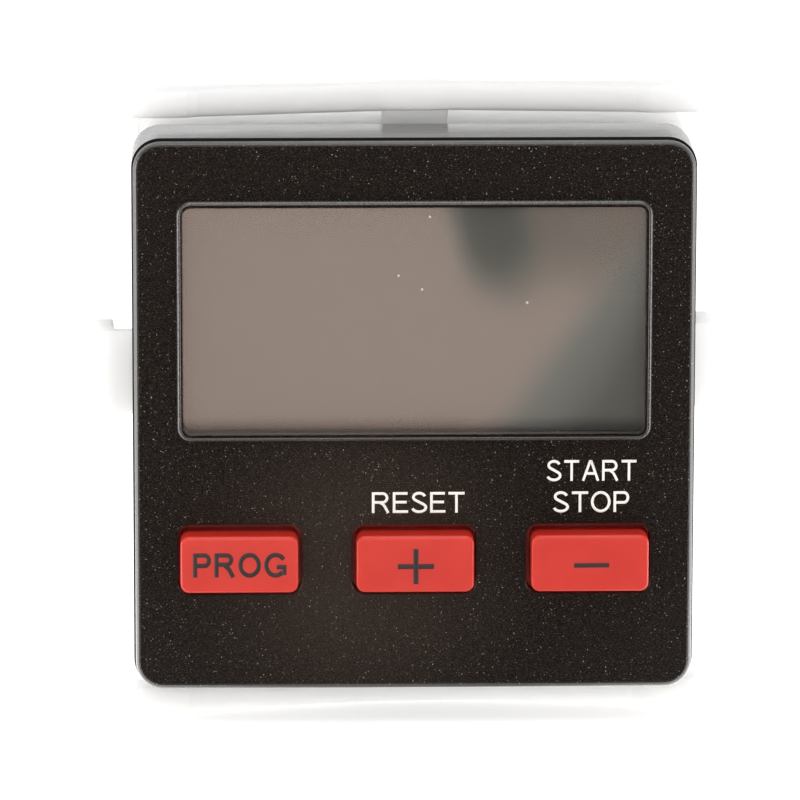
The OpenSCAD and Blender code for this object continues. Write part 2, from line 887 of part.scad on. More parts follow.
// a spring bar seen from above: straight arms that lean forward from the middle, pads at the ends
module bar_outline() {
    half = bar_w / 2;
    flat = web_w / 2;
    pad_front = bar_end_front - pad_t;
    pad_in = half - pad_w;
    arm = pad_in - pad_ramp;
    polygon([[-half, bar_end_front], [-half + bar_chamfer, pad_front],
        [-pad_in, pad_front], [-arm, bar_end_front + bar_slope],
        [-flat, bar_mid_front], [flat, bar_mid_front],
        [arm, bar_end_front + bar_slope], [pad_in, pad_front],
        [half - bar_chamfer, pad_front], [half, bar_end_front],
        [half, bar_end_back], [flat, bar_mid_back], [-flat, bar_mid_back], [-half, bar_end_back]]);
}

module spring_bar(side) {
    top = bars_h / 2;
    translate([0, 0, side > 0 ? top - bar_h : -top])
    linear_extrude(height = bar_h)
    bar_outline();
    // web from the middle of the bar to the collar
    translate([-web_w / 2, 0, 0])
    rotate([90, 0, 90])
    linear_extrude(height = web_w)
    polygon([[bar_mid_front + web_lead, side * (top - bar_h)], [bar_mid_back - web_lead, side * top],
        [bar_mid_back + web_top, side * top], [collar_y + web_foot, side * (collar_h / 2 + web_lead)],
        [collar_y + web_reach, side * (collar_h / 2 - web_lead)],
        [collar_y, side * (collar_h / 2 - web_sink)]]);
}

module collar() {
    difference() {
        plate(collar_w, collar_h, collar_r, collar_y, collar_back);
        plate(collar_in_w, collar_in_h, 1.2, collar_y - 1, collar_back + 1);
        for (side = [-1, 1])
            translate([side * collar_w / 2, 0, 0])
            box(-2, 2, collar_y + 2, collar_back + 1, -notch_h / 2, notch_h / 2);
    }
}

// lever with pawl, torsion hinge and ribbed finger tab
module lever(side) {
    tip = body_side / 2 + pawl_gap;
    in = collar_in_w / 2 + 0.5;
    out = in + lever_t;
    tab = tabs_w / 2;
    tab_back = tab_y + tab_depth;
    web_t = 1.5;
    mirror([side < 0 ? 1 : 0, 0, 0]) {
        translate([0, 0, -tab_h / 2])
        linear_extrude(height = tab_h)
        polygon([[in, pawl_y - 1.2], [tip, pawl_y - 0.2], [tip, pawl_y + 0.1], [in, pawl_y + 0.3],
            [in, tab_y + web_t], [tab - tab_t, tab_y + web_t], [tab - tab_t, tab_back],
            [tab - 0.3, tab_back], [tab, tab_back - 0.5], [tab, tab_y + 0.4],
            [tab - 0.4, tab_y], [out, tab_y], [out, pawl_y - 1.2]]);
        for (k = [1 : 3])
            translate([tab, tab_y + k * tab_depth / 4, -tab_h / 2 + 0.6])
            cylinder(d = 0.5, h = tab_h - 1.2, $fn = 16);
        box(collar_in_w / 2 + 0.1, collar_w / 2, tab_y - 1, tab_y + 0.2, -notch_h / 2 - 0.2, notch_h / 2 + 0.2);
    }
}

module clamp_frame() {
    color("#eceded")
    translate([0, pawl_y, 0])
    rotate([0, 0, skew])
    translate([0, -pawl_y, 0]) {
        collar();
        for (side = [-1, 1]) {
            spring_bar(side);
            lever(side);
        }
    }
}

front_cover();
window_pane();
button(-1, left_key_lean);  // button_prog
button(0, middle_key_lean);  // button_plus
button(1, right_key_lean);  // button_minus
display_polarizer();
display_front_glass();
display_rear_glass();
display_reflector();
display_holder();
contact_strips();
backing_pad();
display_board();
key_switches();
microcontroller();
quartz_crystal();
backup_battery();
board_header();
power_board();
relay();
mains_capacitor();
smoothing_capacitor();
varistor();
rectifier();
fuse();
terminal_block();
terminal_screws();
wire_clamps();
case();
rear_cover();
clamp_frame();
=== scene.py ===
import math

import bmesh
import bpy
from mathutils import Matrix, Vector


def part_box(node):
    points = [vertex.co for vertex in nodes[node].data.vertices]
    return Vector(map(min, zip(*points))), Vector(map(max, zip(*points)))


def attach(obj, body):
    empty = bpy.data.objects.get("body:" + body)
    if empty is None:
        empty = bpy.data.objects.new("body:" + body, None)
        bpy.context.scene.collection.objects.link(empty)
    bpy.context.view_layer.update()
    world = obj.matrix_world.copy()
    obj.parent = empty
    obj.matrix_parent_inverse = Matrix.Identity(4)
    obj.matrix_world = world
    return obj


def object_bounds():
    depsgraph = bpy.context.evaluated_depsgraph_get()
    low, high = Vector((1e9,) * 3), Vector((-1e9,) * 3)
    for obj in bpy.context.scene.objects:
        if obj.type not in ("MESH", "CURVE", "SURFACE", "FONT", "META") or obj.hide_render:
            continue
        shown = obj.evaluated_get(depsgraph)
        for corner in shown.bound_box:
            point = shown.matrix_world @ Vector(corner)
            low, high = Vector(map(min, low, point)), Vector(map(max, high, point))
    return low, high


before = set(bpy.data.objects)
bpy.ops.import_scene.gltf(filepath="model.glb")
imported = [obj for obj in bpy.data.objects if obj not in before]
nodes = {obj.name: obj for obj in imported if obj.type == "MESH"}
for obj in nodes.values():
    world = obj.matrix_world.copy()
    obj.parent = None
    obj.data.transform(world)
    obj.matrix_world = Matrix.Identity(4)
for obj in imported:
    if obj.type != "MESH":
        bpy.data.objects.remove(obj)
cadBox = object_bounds()
scene = bpy.context.scene
mm = 0.001
coverY = -8.0  # mm, the front face of the cover
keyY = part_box("button_prog")[0].y / mm
print("frame loaded, nodes:", len(nodes))


def linearColour(hexText):
    # sRGB hex to the linear colour that the shaders take
    parts = [int(hexText[i:i + 2], 16) / 255 for i in (1, 3, 5)]
    return tuple(c / 12.92 if c <= 0.04045 else ((c + 0.055) / 1.055) ** 2.4 for c in parts) + (1.0,)


def addNode(tree, kind, settings=None, links=None):
    # a setting is a socket's value, by name or number, or else one of the node's own properties
    node = tree.nodes.new(kind)
    for key, value in (settings or {}).items():
        if isinstance(key, int) or key in node.inputs:
            node.inputs[key].default_value = value
        else:
            setattr(node, key, value)
    for socket, source in (links or {}).items():
        tree.links.new(source, node.inputs[socket])
    return node


def startMaterial(name):
    material = bpy.data.materials.new(name)
    material.use_nodes = True
    material.node_tree.nodes.clear()
    return material, material.node_tree


def paint(material, *names):
    for name in names:
        obj = nodes[name]
        obj.data.materials.clear()
        obj.data.materials.append(material)


def makeObject(name, bm, material):
    mesh = bpy.data.meshes.new(name)
    bm.to_mesh(mesh)
    bm.free()
    mesh.materials.append(material)
    obj = bpy.data.objects.new(name, mesh)
    scene.collection.objects.link(obj)
    return obj


# a long lens a little above the object, slightly left of its middle and hardly rolled
cameraView = {
    "azimuth": -1.63,
    "elevation": 12.82,
    "distance": 0.5927,
    "aim": (0.0, -0.0004, 0.0),
    "lens": 309.2,
    "sensor": 36.0,
    "roll": 0.13,
    "shiftX": -0.0149,
    "shiftY": -0.0021,
    "clip": (0.01, 50.0),
}


def makeCamera(view):
    a, e, r = (math.radians(view[k]) for k in ("azimuth", "elevation", "roll"))
    back = Vector((math.sin(a) * math.cos(e), -math.cos(a) * math.cos(e), math.sin(e)))
    right = (-back).cross(Vector((0, 0, 1))).normalized()
    up = right.cross(-back)
    rightRolled = math.cos(r) * right + math.sin(r) * up
    upRolled = -math.sin(r) * right + math.cos(r) * up
    data = bpy.data.cameras.new("photoCamera")
    data.lens = view["lens"]
    data.sensor_width = view["sensor"]
    data.shift_x = view["shiftX"]
    data.shift_y = view["shiftY"]
    data.clip_start, data.clip_end = view["clip"]
    camera = bpy.data.objects.new("photoCamera", data)
    turn = Matrix((rightRolled, upRolled, back)).transposed().to_4x4()
    camera.matrix_world = Matrix.Translation(back * view["distance"] + Vector(view["aim"])) @ turn
    scene.collection.objects.link(camera)
    scene.camera = camera


makeCamera(cameraView)
print("camera placed")

# soft boxes above, in front, behind and on both sides, each turned to the object
lamps = {
    "overhead": {"at": (0.0, -0.3, 0.85), "size": (0.8, 0.8), "watts": 3.5, "colour": "#ffffff"},
    "front": {"at": (0.0, -1.1, 0.25), "size": (1.0, 0.18), "watts": 3.6, "colour": "#ffffff"},
    "left": {"at": (-0.85, -0.2, 0.12), "size": (0.7, 0.22), "watts": 1.6, "colour": "#fff9f4"},
    "right": {"at": (0.85, -0.25, 0.12), "size": (0.7, 0.22), "watts": 1.2, "colour": "#fff6f1"},
    "leftEdge": {"at": (-0.7, 0.3, 0.1), "size": (0.3, 0.6), "watts": 0.7, "colour": "#fff6ee"},
    "rightEdge": {"at": (0.7, 0.3, 0.1), "size": (0.3, 0.6), "watts": 0.4, "colour": "#fff6ee"},
    "behind": {"at": (0.0, 1.1, 0.42), "size": (1.6, 0.5), "watts": 0.6, "colour": "#ffffff"},
}


def makeLamp(name, s):
    data = bpy.data.lights.new(name, "AREA")
    data.shape = "RECTANGLE"
    data.size, data.size_y = s["size"]
    data.energy = s["watts"]
    data.color = linearColour(s["colour"])[:3]
    lamp = bpy.data.objects.new(name, data)
    lamp.location = s["at"]
    lamp.rotation_euler = (-Vector(s["at"])).to_track_quat("-Z", "Y").to_euler()
    lamp.visible_camera = False
    scene.collection.objects.link(lamp)


for lampName, lampLook in lamps.items():
    makeLamp(lampName + "Softbox", lampLook)

# white cloth round the scene, dim on the camera's side and bright behind the object. Each pair is front and
# back: the light that it gives, what gloss and glass see of it, and where it turns from one to the other,
# as the share of y in a ray's direction
roomLook = {"fill": (0.24, 0.68), "gloss": (0.04, 1.0), "turn": (-0.8, -0.3)}


def makeRoom(s):
    # the camera itself sees plain white all round
    room = bpy.data.worlds.new("paleStudio")
    room.use_nodes = True
    scene.world = room
    tree = room.node_tree
    tree.nodes.clear()
    rays = addNode(tree, "ShaderNodeLightPath")
    place = addNode(tree, "ShaderNodeTexCoord")
    axes = addNode(tree, "ShaderNodeSeparateXYZ", links={0: place.outputs["Generated"]})
    walls = addNode(tree, "ShaderNodeMapRange",
                    {"From Min": s["turn"][0], "From Max": s["turn"][1], "To Min": s["gloss"][0],
                     "To Max": s["gloss"][1], "interpolation_type": "SMOOTHSTEP"},
                    {"Value": axes.outputs[1]})
    seen = addNode(tree, "ShaderNodeMath", {"operation": "MAXIMUM"},
                   {0: rays.outputs["Is Glossy Ray"], 1: rays.outputs["Is Transmission Ray"]})
    fill = addNode(tree, "ShaderNodeMapRange",
                   {"From Min": s["turn"][0], "From Max": s["turn"][1], "To Min": s["fill"][0],
                    "To Max": s["fill"][1], "interpolation_type": "SMOOTHSTEP"},
                   {"Value": axes.outputs[1]})
    level = addNode(tree, "ShaderNodeMix", {"data_type": "FLOAT"},
                    {0: seen.outputs[0], 2: fill.outputs[0], 3: walls.outputs[0]})
    white = addNode(tree, "ShaderNodeMix", {"data_type": "FLOAT", 3: 1.0},
                    {0: rays.outputs["Is Camera Ray"], 2: level.outputs[0]})
    sky = addNode(tree, "ShaderNodeBackground", {"Color": linearColour("#ffffff")},
                  {"Strength": white.outputs[0]})
    addNode(tree, "ShaderNodeOutputWorld", links={"Surface": sky.outputs[0]})


makeRoom(roomLook)

# opal acrylic table: matt white with a little light of its own, more of it towards the camera. In gloss and
# glass it shows dark in front of the object, and in gloss as a bright wedge on each side, which lights the
# side edges of the front
tableLook = {
    "radius": 3.0, "sides": 96, "drop": 0.02, "colour": "#f6f6f4", "glow": 0.36, "seenGlow": 0.62,
    "coverFrom": -0.012, "coverTo": -0.05, "coverLevel": 0.03,
    "wedgeAngle": 52, "wedgeSoft": 0.008, "wedgeGlow": 3.0, "wedgeBack": (0.06, 0.02),
}


def makeTable(s):
    material, tree = startMaterial("opalTableAcrylic")
    rays = addNode(tree, "ShaderNodeLightPath")
    place = addNode(tree, "ShaderNodeTexCoord")
    axes = addNode(tree, "ShaderNodeSeparateXYZ", links={0: place.outputs["Object"]})
    cover = addNode(tree, "ShaderNodeMapRange", {"From Min": s["coverFrom"], "From Max": s["coverTo"]},
                    {"Value": axes.outputs[1]})
    # the wedge starts at a slanting line through each front edge and fades out behind the object
    turn = math.radians(s["wedgeAngle"])
    coverLow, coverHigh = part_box("front_cover")
    start = -coverHigh.x * math.cos(turn) - coverLow.y * math.sin(turn)
    aside = addNode(tree, "ShaderNodeMath", {"operation": "ABSOLUTE"}, {0: axes.outputs[0]})
    sidewards = addNode(tree, "ShaderNodeMath", {"operation": "MULTIPLY_ADD", 1: math.cos(turn), 2: start},
                        {0: aside.outputs[0]})
    past = addNode(tree, "ShaderNodeMath", {"operation": "MULTIPLY_ADD", 1: math.sin(turn)},
                   {0: axes.outputs[1], 2: sidewards.outputs[0]})
    wedge = addNode(tree, "ShaderNodeMapRange", {"From Min": -s["wedgeSoft"], "From Max": s["wedgeSoft"]},
                    {"Value": past.outputs[0]})
    middle = addNode(tree, "ShaderNodeMath", {"operation": "SUBTRACT", 0: 1.0}, {1: wedge.outputs[0]})
    cover = addNode(tree, "ShaderNodeMath", {"operation": "MULTIPLY"},
                    {0: cover.outputs[0], 1: middle.outputs[0]})
    gloss = addNode(tree, "ShaderNodeMath", {"operation": "MAXIMUM"},
                    {0: rays.outputs["Is Glossy Ray"], 1: rays.outputs["Is Transmission Ray"]})
    hidden = addNode(tree, "ShaderNodeMath", {"operation": "MULTIPLY"},
                     {0: gloss.outputs[0], 1: cover.outputs[0]})
    matt = addNode(tree, "ShaderNodeBsdfDiffuse", {"Color": linearColour(s["colour"])})
    own = addNode(tree, "ShaderNodeMix", {"data_type": "FLOAT", 2: s["glow"], 3: s["seenGlow"]},
                  {0: rays.outputs["Is Camera Ray"]})
    beside = addNode(tree, "ShaderNodeMapRange",
                     {"From Min": s["wedgeBack"][0], "From Max": s["wedgeBack"][1], "To Max": s["wedgeGlow"]},
                     {"Value": axes.outputs[1]})
    shine = addNode(tree, "ShaderNodeMath", {"operation": "MULTIPLY"},
                    {0: beside.outputs[0], 1: wedge.outputs[0]})
    seenShine = addNode(tree, "ShaderNodeMath", {"operation": "MULTIPLY_ADD"},
                        {0: shine.outputs[0], 1: rays.outputs["Is Glossy Ray"], 2: own.outputs[0]})
    glow = addNode(tree, "ShaderNodeEmission", links={"Strength": seenShine.outputs[0]})
    opal = addNode(tree, "ShaderNodeAddShader", links={0: matt.outputs[0], 1: glow.outputs[0]})
    dark = addNode(tree, "ShaderNodeEmission", {"Strength": s["coverLevel"]})
    both = addNode(tree, "ShaderNodeMixShader",
                   links={0: hidden.outputs[0], 1: opal.outputs[0], 2: dark.outputs[0]})
    addNode(tree, "ShaderNodeOutputMaterial", links={"Surface": both.outputs[0]})
    bm = bmesh.new()
    bmesh.ops.create_circle(bm, cap_ends=True, segments=s["sides"], radius=s["radius"])
    bmesh.ops.translate(bm, verts=bm.verts, vec=(0, 0, cadBox[0].z - s["drop"] * mm))
    makeObject("table", bm, material)


makeTable(tableLook)

# a warm lit card in front, seen by gloss and glass alone, which gives the display window a plain reflection.
# Places on it are x and z in metres
cardLook = {
    "y": -0.098, "left": -0.06, "right": 0.045, "low": -0.0272, "high": 0.03,
    "warm": "#fcdacb", "bright": 2.05, "grey": "#efeae2",
    "borders": [{"from": (0.0098, -0.0240), "to": (0.0263, -0.0010), "soft": 0.0022, "level": 0.47},
                {"from": (0.0160, -0.0240), "to": (0.0262, -0.0080), "soft": 0.003, "level": 0.14}],
    "blob": {"at": (0.0100, -0.0010), "size": (0.0035, 0.0072), "turn": -16, "soft": 0.5, "level": 0.19},
    "veil": {"from": 0.0095, "to": 0.0560, "soft": 0.004, "bottom": (-0.0110, -0.0030), "level": 0.4},
    "foot": (-0.0252, -0.0196), "footLevel": 0.3,
}


def makeCard(s):
    # even warm light with a dim foot, a dim blob and a veil to its right, and two slanting borders towards a
    # dim corner
    material, tree = startMaterial("reflectorCardWarm")
    place = addNode(tree, "ShaderNodeTexCoord")
    axes = addNode(tree, "ShaderNodeSeparateXYZ", links={0: place.outputs["Object"]})
    blob = addNode(tree, "ShaderNodeMapping",
                   {"vector_type": "TEXTURE", "Location": (s["blob"]["at"][0], s["y"], s["blob"]["at"][1]),
                    "Rotation": (0, math.radians(s["blob"]["turn"]), 0),
                    "Scale": (s["blob"]["size"][0], 1, s["blob"]["size"][1])},
                   {"Vector": place.outputs["Object"]})
    reach = addNode(tree, "ShaderNodeVectorMath", {"operation": "LENGTH"}, {0: blob.outputs[0]})
    blobShare = addNode(tree, "ShaderNodeMapRange",
                        {"From Min": 1 + s["blob"]["soft"], "From Max": 1 - s["blob"]["soft"],
                         "To Max": 1 - s["blob"]["level"], "interpolation_type": "SMOOTHSTEP"},
                        {"Value": reach.outputs["Value"]})
    fade = addNode(tree, "ShaderNodeMapRange",
                   {"From Min": s["veil"]["from"], "From Max": s["veil"]["to"], "To Min": s["veil"]["level"],
                    "To Max": 1.0, "interpolation_type": "SMOOTHSTEP"}, {"Value": axes.outputs[0]})
    aside = addNode(tree, "ShaderNodeMapRange",
                    {"From Min": s["veil"]["from"] - s["veil"]["soft"], "From Max": s["veil"]["from"],
                     "interpolation_type": "SMOOTHSTEP"}, {"Value": axes.outputs[0]})
    above = addNode(tree, "ShaderNodeMapRange",
                    {"From Min": s["veil"]["bottom"][0], "From Max": s["veil"]["bottom"][1],
                     "interpolation_type": "SMOOTHSTEP"}, {"Value": axes.outputs[2]})
    veilShare = addNode(tree, "ShaderNodeMath", {"operation": "MULTIPLY"},
                        {0: aside.outputs[0], 1: above.outputs[0]})
    veil = addNode(tree, "ShaderNodeMix", {"data_type": "FLOAT", 2: 1.0},
                   {0: veilShare.outputs[0], 3: fade.outputs[0]})
    kept = addNode(tree, "ShaderNodeMath", {"operation": "SUBTRACT", 0: 1.0}, {1: blobShare.outputs[0]})
    level = addNode(tree, "ShaderNodeMath", {"operation": "MULTIPLY"},
                    {0: veil.outputs[0], 1: kept.outputs[0]})
    hue = addNode(tree, "ShaderNodeMix", {"data_type": "RGBA", 6: linearColour(s["warm"]),
                                          7: linearColour(s["grey"])}, {0: blobShare.outputs[0]})
    # a border is a line across the card, past which it turns to plain grey at the border's own level
    for border in s["borders"]:
        run = Vector(border["to"]) - Vector(border["from"])
        run.normalize()
        offset = -border["from"][0] * run[1] + border["from"][1] * run[0]
        acrossX = addNode(tree, "ShaderNodeMath", {"operation": "MULTIPLY_ADD", 1: run[1], 2: offset},
                          {0: axes.outputs[0]})
        across = addNode(tree, "ShaderNodeMath", {"operation": "MULTIPLY_ADD", 1: -run[0]},
                         {0: axes.outputs[2], 2: acrossX.outputs[0]})
        past = addNode(tree, "ShaderNodeMapRange",
                       {"From Min": -border["soft"], "From Max": border["soft"],
                        "interpolation_type": "SMOOTHSTEP"}, {"Value": across.outputs[0]})
        level = addNode(tree, "ShaderNodeMix", {"data_type": "FLOAT", 3: border["level"]},
                        {0: past.outputs[0], 2: level.outputs[0]})
        hue = addNode(tree, "ShaderNodeMix", {"data_type": "RGBA", 7: linearColour(s["grey"])},
                      {0: past.outputs[0], 6: hue.outputs[2]})
    foot = addNode(tree, "ShaderNodeMapRange",
                   {"From Min": s["foot"][0], "From Max": s["foot"][1],
                    "To Min": s["bright"] * s["footLevel"], "To Max": s["bright"],
                    "interpolation_type": "SMOOTHSTEP"}, {"Value": axes.outputs[2]})
    level = addNode(tree, "ShaderNodeMath", {"operation": "MULTIPLY"},
                    {0: level.outputs[0], 1: foot.outputs[0]})
    shine = addNode(tree, "ShaderNodeEmission",
                    links={"Color": hue.outputs[2], "Strength": level.outputs[0]})
    addNode(tree, "ShaderNodeOutputMaterial", links={"Surface": shine.outputs[0]})
    bm = bmesh.new()
    bmesh.ops.create_grid(bm, x_segments=1, y_segments=1, size=0.5)
    bmesh.ops.scale(bm, verts=bm.verts, vec=(s["right"] - s["left"], s["high"] - s["low"], 1))
    bmesh.ops.rotate(bm, verts=bm.verts, matrix=Matrix.Rotation(math.radians(90), 3, "X"))
    bmesh.ops.translate(bm, verts=bm.verts,
                        vec=((s["left"] + s["right"]) / 2, s["y"], (s["low"] + s["high"]) / 2))
    card = makeObject("warmCard", bm, material)
    card.visible_camera = False
    card.visible_diffuse = False
    card.visible_shadow = False


makeCard(cardLook)
print("light, table and card placed")

# what moulded plastics share where a piece says nothing else; the spans are the part of the noise that shows
plasticLook = {"stretch": (1, 1, 1), "grainSpan": (0.32, 0.68), "cloudSpan": (0.35, 0.65), "ior": 1.53,
               "specular": 0.5, "scatter": 0.0, "scatterColour": (1.0, 1.0, 1.0), "scatterDepth": 0.5,
               "coat": 0.0, "coatRough": 0.2}


def mouldedPlastic(name, own):
    # injection moulded plastic: a skin copied from the mould over a faint cloudiness in the colour
    s = {**plasticLook, **own}
    material, tree = startMaterial(name)
    place = addNode(tree, "ShaderNodeTexCoord")
    along = addNode(tree, "ShaderNodeMapping", {"Scale": s["stretch"]}, {"Vector": place.outputs["Object"]})
    grain = addNode(tree, "ShaderNodeTexNoise",
                    {"Scale": 1 / (s["grain"] * mm), "Detail": 3.0, "Roughness": 0.6},
                    {"Vector": along.outputs[0]})
    skin = addNode(tree, "ShaderNodeMapRange",
                   {"From Min": s["grainSpan"][0], "From Max": s["grainSpan"][1]},
                   {"Value": grain.outputs[0]})
    cloud = addNode(tree, "ShaderNodeTexNoise",
                    {"Scale": 1 / (s["cloud"] * mm), "Detail": 2.0, "Roughness": 0.5},
                    {"Vector": place.outputs["Object"]})
    haze = addNode(tree, "ShaderNodeMapRange",
                   {"From Min": s["cloudSpan"][0], "From Max": s["cloudSpan"][1],
                    "To Max": 1 - s["grainTone"]}, {"Value": cloud.outputs[0]})
    tone = addNode(tree, "ShaderNodeMath",
                   {"operation": "MULTIPLY_ADD", "use_clamp": True, 1: s["grainTone"]},
                   {0: skin.outputs[0], 2: haze.outputs[0]})
    colour = addNode(tree, "ShaderNodeMix",
                     {"data_type": "RGBA", 6: linearColour(s["dark"]), 7: linearColour(s["light"])},
                     {0: tone.outputs[0]})
    rough = addNode(tree, "ShaderNodeMapRange",
                    {"To Min": s["rough"][0], "To Max": s["rough"][1]}, {"Value": skin.outputs[0]})
    bump = addNode(tree, "ShaderNodeBump", {"Strength": 1.0, "Distance": s["relief"] * mm},
                   {"Height": grain.outputs[0]})
    shader = addNode(tree, "ShaderNodeBsdfPrincipled",
                     {"IOR": s["ior"], "Specular IOR Level": s["specular"],
                      "Subsurface Weight": s["scatter"], "Subsurface Radius": s["scatterColour"],
                      "Subsurface Scale": s["scatterDepth"] * mm,
                      "Coat Weight": s["coat"], "Coat Roughness": s["coatRough"]},
                     {"Base Color": colour.outputs[2], "Roughness": rough.outputs[0],
                      "Normal": bump.outputs[0]})
    if "paintedShadeMargin" in s:
        # a dull, rough margin at the front of the piece, drawn darker as painted shade of the groove behind
        # the cover
        axes = addNode(tree, "ShaderNodeSeparateXYZ", links={0: place.outputs["Object"]})
        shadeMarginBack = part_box(s["paintedShadeMargin"]["node"])[0].y + s["paintedShadeMargin"]["depth"] * mm
        front = addNode(tree, "ShaderNodeMath", {"operation": "LESS_THAN", 1: shadeMarginBack}, {0: axes.outputs[1]})
        dullShadedSkin = addNode(tree, "ShaderNodeBsdfPrincipled",
                      {"Base Color": linearColour(s["paintedShadeMargin"]["colour"]), "Roughness": s["paintedShadeMargin"]["rough"],
                       "Specular IOR Level": s["paintedShadeMargin"]["specular"]})
        shader = addNode(tree, "ShaderNodeMixShader",
                         links={0: front.outputs[0], 1: shader.outputs[0], 2: dullShadedSkin.outputs[0]})
    addNode(tree, "ShaderNodeOutputMaterial", links={"Surface": shader.outputs[0]})
    return material


# ABS with a spark-eroded skin: matt brown black, mottled by craters, with a few pale specks, which are dust
# and painted glints of the crests. The craters are drawn 0.2 mm wide, coarser than real ones, so that they
# show
erodedAbs = {
    "crater": 0.1, "craterSpan": (0.5, 0.68), "craterShare": 0.75, "stretch": (0.5, 1, 1.2),
    "patch": 0.4, "patchSpan": (0.35, 0.7), "patchShare": 0.12,
    "dustAndGlint": 0.12, "dustAndGlintSpan": (0.79, 0.86), "dustAndGlintColour": "#a09a92",
    "dark": "#040201", "light": "#3f352d", "relief": 0.08, "rough": (0.36, 0.5), "ior": 1.53,
    "specular": 0.08, "slant": (0.06, 0.2), "slantCoat": 1.0, "slantRelief": 0.3, "coatRough": 0.32,
    "coatIor": 1.75, "skinDepth": 1.38,
    "highlightCentre": (-5.0, coverY, -13.0), "highlightReach": (18.0, 0.0), "paintedHighlight": 0.4,
}


def erodedSkin(s):
    material, tree = startMaterial("sparkErodedAbsBlack")
    place = addNode(tree, "ShaderNodeTexCoord")
    along = addNode(tree, "ShaderNodeMapping", {"Scale": s["stretch"]}, {"Vector": place.outputs["Object"]})
    crater = addNode(tree, "ShaderNodeTexNoise",
                     {"Scale": 1 / (s["crater"] * mm), "Detail": 2.0, "Roughness": 0.6},
                     {"Vector": along.outputs[0]})
    craterTone = addNode(tree, "ShaderNodeMapRange",
                         {"From Min": s["craterSpan"][0], "From Max": s["craterSpan"][1]},
                         {"Value": crater.outputs[0]})
    patch = addNode(tree, "ShaderNodeTexNoise", {"Scale": 1 / (s["patch"] * mm), "Detail": 1.0},
                    {"Vector": along.outputs[0]})
    patchTone = addNode(tree, "ShaderNodeMapRange",
                        {"From Min": s["patchSpan"][0], "From Max": s["patchSpan"][1],
                         "To Max": s["patchShare"]}, {"Value": patch.outputs[0]})
    tone = addNode(tree, "ShaderNodeMath",
                   {"operation": "MULTIPLY_ADD", "use_clamp": True, 1: s["craterShare"]},
                   {0: craterTone.outputs[0], 2: patchTone.outputs[0]})
    # painted highlight: the skin is drawn lighter round a spot between the keys, where a soft haze of light
    # lies
    centre = Vector(s["highlightCentre"]) * mm
    away = addNode(tree, "ShaderNodeVectorMath", {"operation": "DISTANCE", 1: centre},
                   {0: place.outputs["Object"]})
    paintedHighlight = addNode(tree, "ShaderNodeMapRange",
                     {"From Min": s["highlightReach"][0] * mm, "From Max": s["highlightReach"][1] * mm,
                      "To Max": s["paintedHighlight"], "interpolation_type": "SMOOTHSTEP"},
                     {"Value": away.outputs["Value"]})
    tone = addNode(tree, "ShaderNodeMath", {"operation": "ADD", "use_clamp": True},
                   {0: tone.outputs[0], 1: paintedHighlight.outputs[0]})
    skin = addNode(tree, "ShaderNodeMix",
                   {"data_type": "RGBA", 6: linearColour(s["dark"]), 7: linearColour(s["light"])},
                   {0: tone.outputs[0]})
    # pale specks: some dust, and painted glints where crests of the skin would catch light
    dustAndGlint = addNode(tree, "ShaderNodeTexNoise", {"Scale": 1 / (s["dustAndGlint"] * mm), "Detail": 0.0},
                    {"Vector": place.outputs["Object"]})
    dustAndGlintTone = addNode(tree, "ShaderNodeMapRange",
                        {"From Min": s["dustAndGlintSpan"][0], "From Max": s["dustAndGlintSpan"][1]},
                        {"Value": dustAndGlint.outputs[0]})
    colour = addNode(tree, "ShaderNodeMix", {"data_type": "RGBA", 7: linearColour(s["dustAndGlintColour"])},
                     {0: dustAndGlintTone.outputs[0], 6: skin.outputs[2]})
    rough = addNode(tree, "ShaderNodeMapRange", {"To Min": s["rough"][0], "To Max": s["rough"][1]},
                    {"Value": patch.outputs[0]})
    bump = addNode(tree, "ShaderNodeBump", {"Strength": 1.0, "Distance": s["relief"] * mm},
                   {"Height": crater.outputs[0]})
    # the crests between the craters are smoother, which shows as a sheen where the skin is seen at a slant
    slant = addNode(tree, "ShaderNodeLayerWeight", {"Blend": 0.5})
    coat = addNode(tree, "ShaderNodeMapRange",
                   {"From Min": s["slant"][0], "From Max": s["slant"][1], "To Max": s["slantCoat"]},
                   {"Value": slant.outputs["Facing"]})
    # behind the front skin, as in the groove round the edge, the plastic is dull
    axes = addNode(tree, "ShaderNodeSeparateXYZ", links={0: place.outputs["Object"]})
    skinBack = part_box("front_cover")[0].y + s["skinDepth"] * mm
    outside = addNode(tree, "ShaderNodeMath", {"operation": "LESS_THAN", 1: skinBack}, {0: axes.outputs[1]})
    coat = addNode(tree, "ShaderNodeMath", {"operation": "MULTIPLY"},
                   {0: coat.outputs[0], 1: outside.outputs[0]})
    crestBump = addNode(tree, "ShaderNodeBump", {"Strength": s["slantRelief"], "Distance": s["relief"] * mm},
                        {"Height": crater.outputs[0]})
    shader = addNode(tree, "ShaderNodeBsdfPrincipled",
                     {"IOR": s["ior"], "Specular IOR Level": s["specular"], "Coat Roughness": s["coatRough"],
                      "Coat IOR": s["coatIor"]},
                     {"Base Color": colour.outputs[2], "Roughness": rough.outputs[0],
                      "Normal": bump.outputs[0], "Coat Weight": coat.outputs[0],
                      "Coat Normal": crestBump.outputs[0]})
    addNode(tree, "ShaderNodeOutputMaterial", links={"Surface": shader.outputs[0]})
    return material


paint(erodedSkin(erodedAbs), "front_cover")

# glass filled polyester of the housing: a finer brown black skin with lines drawn out along its width
housingPolyester = {"grain": 0.3, "cloud": 4, "stretch": (0.06, 1, 1), "grainTone": 0.6, "dark": "#1b1714",
                    "light": "#322d28", "rough": (0.14, 0.3), "relief": 0.008, "specular": 0.8,
                    "coat": 0.45, "coatRough": 0.18}
# the cover and the terminals at the back: the same plastic from a duller mould
paint(mouldedPlastic("satinPolyesterBlack", {**housingPolyester, "coat": 0.0, "specular": 0.4,
                                             "rough": (0.35, 0.5)}), "rear_cover", "terminal_block")
